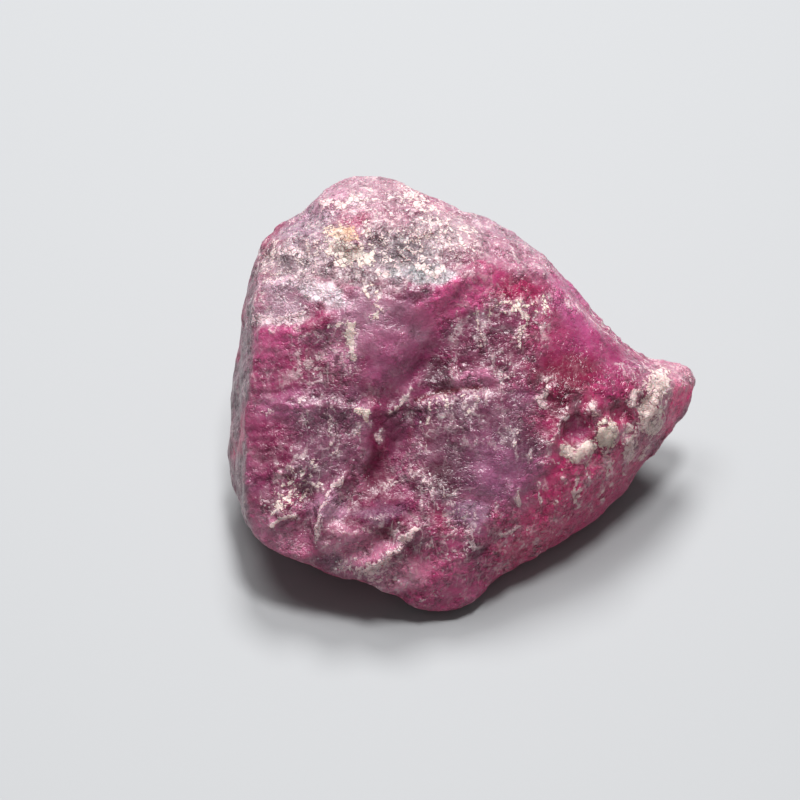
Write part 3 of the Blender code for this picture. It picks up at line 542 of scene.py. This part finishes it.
tint = skin_mesh.color_attributes.new("body", "FLOAT_COLOR", "POINT")
tint.data.foreach_set("color", np.c_[body, np.ones(count)].ravel())
for name, values in (("pale", pale), ("cream", cream), ("broken", broken), ("dull", dull)):
    layer = skin_mesh.attributes.new(name, "FLOAT", "POINT")
    layer.data.foreach_set("value", values)

# The stone's finish: frosted ruby, with white threads and grains that lie thicker on the crust. Lengths
# in it are in mm, and a scale is a number to the mm.
stone = bpy.data.materials.new("ruby")
stone.use_nodes = True
tree = stone.node_tree
tree.nodes.clear()


def node(kind, settings=(), inputs=()):
    """A new node of the stone's finish; an input is a number, a colour or another node's output."""
    made = tree.nodes.new("ShaderNode" + kind)
    for name, value in dict(settings).items():
        setattr(made, name, value)
    for name, value in dict(inputs).items():
        if isinstance(value, bpy.types.NodeSocket):
            tree.links.new(value, made.inputs[name])
        else:
            made.inputs[name].default_value = value
    return made


def sums(operation, first, second=0.0, third=0.0):
    """One sum of Blender's Math node, such as first times second plus third."""
    return node("Math", {"operation": operation}, {0: first, 1: second, 2: third}).outputs[0]


def stepped(values, low, high):
    """Smoothly from 0 at low to 1 at high."""
    made = node("MapRange", {"interpolation_type": "SMOOTHSTEP"},
                {"Value": values, "From Min": low, "From Max": high})
    return made.outputs["Result"]


FIRST_COLOUR, SECOND_COLOUR, MIXED_COLOUR = 6, 7, 2  # where a Mix node has its colour sockets


def mixed(share, first, second):
    """This share of the second colour laid over the first."""
    made = node("Mix", {"data_type": "RGBA"}, {"Factor": share})
    for socket, value in ((made.inputs[FIRST_COLOUR], first), (made.inputs[SECOND_COLOUR], second)):
        if isinstance(value, bpy.types.NodeSocket):
            tree.links.new(value, socket)
        else:
            socket.default_value = (*value, 1.0)
    return made.outputs[MIXED_COLOUR]


def grain_noise(places_of_stone, scale, detail, roughness):
    """Clouds or grains, from 0 to 1 and mostly near 0.5."""
    made = node("TexNoise", {}, {
        "Vector": places_of_stone, "Scale": scale, "Detail": detail, "Roughness": roughness})
    return made.outputs["Fac"]


lean = math.pi / 2 - LOOKS_UP
to_heart = Matrix.Rotation(-lean, 3, "X") @ HEART / PLACE
mapping = node("Mapping", {}, {
    "Vector": node("TexCoord").outputs["Object"], "Scale": (1 / PLACE,) * 3,
    "Rotation": (-lean, 0.0, 0.0), "Location": -to_heart})
stone_places = mapping.outputs["Vector"]
upright = node("Mapping", {}, {"Vector": stone_places, "Scale": (1.0, 0.35, 0.6)}).outputs["Vector"]
body_colour = node("Attribute", {"attribute_name": "body"}).outputs["Color"]
pale_share = node("Attribute", {"attribute_name": "pale"}).outputs["Fac"]
broken_share = node("Attribute", {"attribute_name": "broken"}).outputs["Fac"]
dull_share = node("Attribute", {"attribute_name": "dull"}).outputs["Fac"]
cream_share = node("Attribute", {"attribute_name": "cream"}).outputs["Fac"]


def vector_sum(operation, inputs):
    """One sum of Blender's Vector Math node."""
    return node("VectorMath", {"operation": operation}, inputs).outputs[0]


MIDDLE = (0.5, 0.5, 0.5)  # of the colours that noise gives


def warped(places_of_stone, scale, amount):
    """The places shifted about by up to half this amount."""
    drift = node("TexNoise", {}, {"Vector": places_of_stone, "Scale": scale, "Detail": 3.0})
    drift = vector_sum("SUBTRACT", {0: drift.outputs["Color"], 1: MIDDLE})
    drift = vector_sum("SCALE", {0: drift, "Scale": amount})
    return vector_sum("ADD", {0: places_of_stone, 1: drift})


def threads(places_of_stone, scale, detail):
    """Branching threads: about 0.2 between them and 1.9 on their crests."""
    return node("TexNoise", {"noise_type": "RIDGED_MULTIFRACTAL"}, {
        "Vector": places_of_stone, "Scale": scale, "Detail": detail, "Roughness": 0.7, "Lacunarity": 2.1,
        "Offset": 0.9, "Gain": 1.6}).outputs["Fac"]


def small_breaks(places_of_stone, scale):
    """Small flat breaks, each tilted its own way: their height, about 0."""
    cell = node("TexVoronoi", {}, {"Vector": places_of_stone, "Scale": scale})
    tilt = vector_sum("SUBTRACT", {0: cell.outputs["Color"], 1: MIDDLE})
    reach = vector_sum("SUBTRACT", {0: places_of_stone, 1: cell.outputs["Position"]})
    return node("VectorMath", {"operation": "DOT_PRODUCT"}, {0: reach, 1: tilt}).outputs["Value"]


# The makings: feathers of frost, some of them upright, then grains, clouds, haze and packed granules.
drifted = warped(stone_places, scale=1.6, amount=0.5)
grain_places = warped(stone_places, scale=2.2, amount=0.45)
feathers = threads(drifted, scale=1.5, detail=1.8)
upright_feathers = threads(warped(upright, scale=1.2, amount=0.6), scale=2.1, detail=1.4)
grains = grain_noise(stone_places, scale=5.0, detail=1.5, roughness=0.7)
clouds = grain_noise(stone_places, scale=0.8, detail=4.0, roughness=0.6)
haze = grain_noise(warped(stone_places, scale=1.5, amount=0.6), scale=1.1, detail=5.0, roughness=0.65)
local = stepped(grain_noise(stone_places, scale=0.7, detail=2.0, roughness=0.5), 0.38, 0.62)
local = sums("MULTIPLY_ADD", local, 0.9, 0.35)
contrast = sums("MULTIPLY", sums("MULTIPLY_ADD", broken_share, 0.75, 0.28), local)
GRANULES = 2.9
granule_inputs = {"Vector": grain_places, "Scale": GRANULES}
granule = node("TexVoronoi", {}, granule_inputs)
granule_edge = node("TexVoronoi", {"feature": "DISTANCE_TO_EDGE"}, granule_inputs)
lot = node("SeparateColor", {}, {"Color": granule.outputs["Color"]})  # each granule's own chance numbers
gap = stepped(granule_edge.outputs["Distance"], 0.13, 0.02)

# How white the stone is: a pattern that shows above a bar, and the bar is lower where more frost lies.
pattern = sums("MULTIPLY_ADD", feathers, 0.50, sums("MULTIPLY", upright_feathers, 0.30))
pattern = sums("MULTIPLY_ADD", lot.outputs[0], 0.28, pattern)
pattern = sums("MULTIPLY_ADD", sums("SUBTRACT", grains, 0.5), 0.6, pattern)
pattern = sums("MULTIPLY_ADD", sums("SUBTRACT", clouds, 0.5), 1.1, pattern)
pattern = sums("MULTIPLY_ADD", gap, -0.22, pattern)
bar = sums("SUBTRACT", 1.40, sums("MULTIPLY", pale_share, 1.10))
whitened = stepped(pattern, sums("ADD", bar, 0.12), sums("ADD", bar, 0.38))
whitened = sums("MULTIPLY", whitened, sums("MULTIPLY_ADD", stepped(pale_share, 0.1, 0.6), 0.35, 0.6))
veil = sums("MULTIPLY", stepped(haze, 0.38, 0.66), 0.5)
veil = sums("MULTIPLY_ADD", stepped(upright_feathers, 1.0, 1.9), 0.35, veil)
veil = sums("MULTIPLY", veil, sums("MULTIPLY_ADD", pale_share, 1.1, 0.04))

# The colour: the stone's own, lighter and darker from grain to grain, partly darkened by painted shade in
# the seams between granules, then the veil, then the white and the cream.
shade = sums("MULTIPLY_ADD", stepped(grains, 0.36, 0.64), 0.50, -0.25)
shade = sums("MULTIPLY_ADD", sums("SUBTRACT", feathers, 0.85), 0.50, shade)
shade = sums("MULTIPLY_ADD", sums("SUBTRACT", lot.outputs[1], 0.5), 0.25, shade)
# Partly dark seams, partly painted shade: the seams between granules are drawn darker, as well as sunk in
# the relief.
shade = sums("MULTIPLY_ADD", gap, -0.14, shade)
shade = sums("MULTIPLY_ADD", shade, contrast, 0.84)
shaded = vector_sum("SCALE", {0: body_colour, "Scale": shade})
FROST_PINK, CRUST_CREAM, STAIN_BROWN = tone(242, 208, 222), tone(240, 220, 207), tone(218, 168, 136)
STRAND_WHITE, GLINT_WHITE = tone(244, 222, 222), tone(250, 238, 238)
frost_colour = mixed(0.62, body_colour, tuple(FROST_PINK))
pale_colour = mixed(cream_share, frost_colour, tuple(CRUST_CREAM))
stain = sums("MULTIPLY", stepped(cream_share, 0.9, 1.5), stepped(haze, 0.35, 0.6))
pale_colour = mixed(stain, pale_colour, tuple(STAIN_BROWN))
# Painted shade: the pale crust too is drawn darker in the seams between its granules.
pale_seam_shade = sums("SUBTRACT", 1.0, sums("MULTIPLY", sums("MULTIPLY", gap, 0.35), contrast))
pale_colour = vector_sum("SCALE", {0: pale_colour, "Scale": pale_seam_shade})
surface = mixed(veil, shaded, frost_colour)
surface = mixed(whitened, surface, pale_colour)

# Strands: short white threads that lie in clusters on thin frost, and sink into the thick crust.
strands = threads(warped(stone_places, scale=1.0, amount=0.8), scale=1.0, detail=1.0)
upright_strands = threads(warped(upright, scale=1.2, amount=0.7), scale=1.5, detail=1.0)
strands = sums("MAXIMUM", stepped(strands, 0.96, 1.18), stepped(upright_strands, 0.98, 1.20))
clusters = stepped(grain_noise(drifted, scale=1.1, detail=2.0, roughness=0.6), 0.40, 0.60)
strands = sums("MULTIPLY", strands, sums("MULTIPLY_ADD", clusters, 0.75, 0.25))
strands = sums("MULTIPLY", strands, sums("MULTIPLY_ADD", stepped(pale_share, 0.16, 0.60), 0.62, 0.06))
strands = sums("MULTIPLY", strands, sums("MULTIPLY_ADD", stepped(pale_share, 0.62, 0.85), -0.7, 1.0))
surface = mixed(strands, surface, mixed(0.80, body_colour, tuple(STRAND_WHITE)))
# Painted glints: tiny white spots on broken and pale parts, drawn in the colour to stand for light
# sparkling off small facets.
GLINT_PLACES = 3.6  # places for a painted glint
GLINT_CHANCE = 0.92  # how high a place has to draw to get one
cells = node("TexVoronoi", {}, {"Vector": stone_places, "Scale": GLINT_PLACES})
glint_lot = node("SeparateColor", {}, {"Color": cells.outputs["Color"]}).outputs[0]
glint_chosen = sums("GREATER_THAN", glint_lot, GLINT_CHANCE)
painted_glint = sums("MULTIPLY", glint_chosen, stepped(cells.outputs["Distance"], 0.34, 0.16))
painted_glint = sums("MULTIPLY", painted_glint, stepped(sums("MULTIPLY_ADD", broken_share, 0.3, pale_share), 0.1, 0.7))
surface = mixed(sums("MULTIPLY", painted_glint, 0.7), surface, tuple(GLINT_WHITE))

# The finest relief and the gloss: fresh ruby shines a little, frost and crust are matt.
breaks = sums("MULTIPLY_ADD", small_breaks(stone_places, 1.9), 0.60,
              sums("MULTIPLY", small_breaks(grain_places, GRANULES), 0.55))
height = sums("MULTIPLY", breaks, contrast)
height = sums("MULTIPLY_ADD", feathers, sums("MULTIPLY", contrast, 0.045), height)
height = sums("MULTIPLY_ADD", whitened, 0.045, height)
height = sums("MULTIPLY_ADD", strands, 0.035, height)
height = sums("MULTIPLY_ADD", gap, sums("MULTIPLY", contrast, -0.035), height)
height = sums("MULTIPLY_ADD", grains, sums("MULTIPLY_ADD", contrast, 0.07, 0.03), height)
bump = node("Bump", {}, {"Height": height, "Strength": 1.0, "Distance": MM})
rough = sums("MULTIPLY_ADD", whitened, 0.20, 0.28)
gloss = sums("MULTIPLY_ADD", whitened, -0.18, 0.30)
gloss = sums("MULTIPLY", gloss, sums("SUBTRACT", 1.0, dull_share))
CORUNDUM_IOR = 1.76
shader = node("BsdfPrincipled", {}, {
    "Base Color": surface, "Roughness": rough, "Normal": bump.outputs["Normal"], "IOR": CORUNDUM_IOR,
    "Specular IOR Level": gloss, "Subsurface Weight": 0.30, "Subsurface Radius": (1.0, 0.30, 0.45),
    "Subsurface Scale": 0.9 * MM})
node("OutputMaterial", {}, {"Surface": shader.outputs["BSDF"]})
skin_mesh.materials.append(stone)
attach(ruby, "root")
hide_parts("ruby_crystal")

# ---------------------------------------------------------------------------------------------------------
# The floor: a plain sheet of smooth pale paper, wide enough to fill the view. The stone lies loose on it,
# and it is no part of the stone.
FLOOR_SIDE = 1.2
floor_mesh = bpy.data.meshes.new("floor")
half = FLOOR_SIDE / 2
corners = [(-half, -half, 0), (half, -half, 0), (half, half, 0), (-half, half, 0)]
floor_mesh.from_pydata(corners, [], [(0, 1, 2, 3)])
floor = bpy.data.objects.new("floor", floor_mesh)
bpy.context.scene.collection.objects.link(floor)
paper = bpy.data.materials.new("pale sheet")
paper.use_nodes = True
sheet = paper.node_tree.nodes["Principled BSDF"]
PAPER_GREY = (0.36, 0.368, 0.379, 1.0)
sheet.inputs["Base Color"].default_value = PAPER_GREY
sheet.inputs["Roughness"].default_value = 0.6
floor_mesh.materials.append(paper)

# ---------------------------------------------------------------------------------------------------------
# The light: three round studio lamps with broad soft faces, one overhead and two behind the stone, each
# turned to it. They hang free in a pale room, whose even light fills the shadows.
LAMPS = [  # name, place, width in metres, power in watts
    ("lamp overhead", (0.045, 0.085, 0.490), 0.11, 1.65),
    ("lamp behind", (0.0, 0.294, 0.405), 0.16, 2.0),
    ("lamp behind on the left", (-0.13, 0.13, 0.46), 0.20, 0.85),
]
for name, place, width, power in LAMPS:
    light = bpy.data.lights.new(name, "AREA")
    light.shape = "DISK"
    light.size = width
    light.energy = power
    lamp = bpy.data.objects.new(name, light)
    lamp.location = place
    lamp.rotation_euler = (-Vector(place)).to_track_quat("-Z", "Y").to_euler()
    bpy.context.scene.collection.objects.link(lamp)
room = bpy.data.worlds.new("pale room")
room.use_nodes = True
ROOM_WHITE, ROOM_STRENGTH = (1.0, 0.99, 0.98, 1.0), 0.16
room.node_tree.nodes["Background"].inputs["Color"].default_value = ROOM_WHITE
room.node_tree.nodes["Background"].inputs["Strength"].default_value = ROOM_STRENGTH
bpy.context.scene.world = room
bpy.context.scene.view_settings.view_transform = "Standard"

# ---------------------------------------------------------------------------------------------------------
# The camera: a long lens, square on to the broad face, so that it looks down at the stone as steeply as
# the face looks up. The stone fills over half of the view, a little right of its middle.
VIEW_SIDE = 800  # pixels, both ways
PIXELS_TO_THE_MM = 15.81
HEART_PIXEL = (451.0, 399.0)  # where the middle of the broad face falls in the view
camera_data = bpy.data.cameras.new("camera")
camera_data.lens = 150.0
camera_data.sensor_width = 36.0
camera_data.clip_start = 0.01
camera = bpy.data.objects.new("camera", camera_data)
bpy.context.scene.collection.objects.link(camera)
distance = camera_data.lens / camera_data.sensor_width * VIEW_SIDE / PIXELS_TO_THE_MM * MM
right = (VIEW_SIDE / 2 - HEART_PIXEL[0]) / PIXELS_TO_THE_MM * MM
higher = (HEART_PIXEL[1] - VIEW_SIDE / 2) / PIXELS_TO_THE_MM * MM
aim = HEART + Vector(across) * right + Vector(up_face) * higher
camera.location = aim + Vector(out_of_face) * distance
camera.rotation_euler = (math.pi / 2 - LOOKS_UP, 0.0, 0.0)
bpy.context.scene.camera = camera
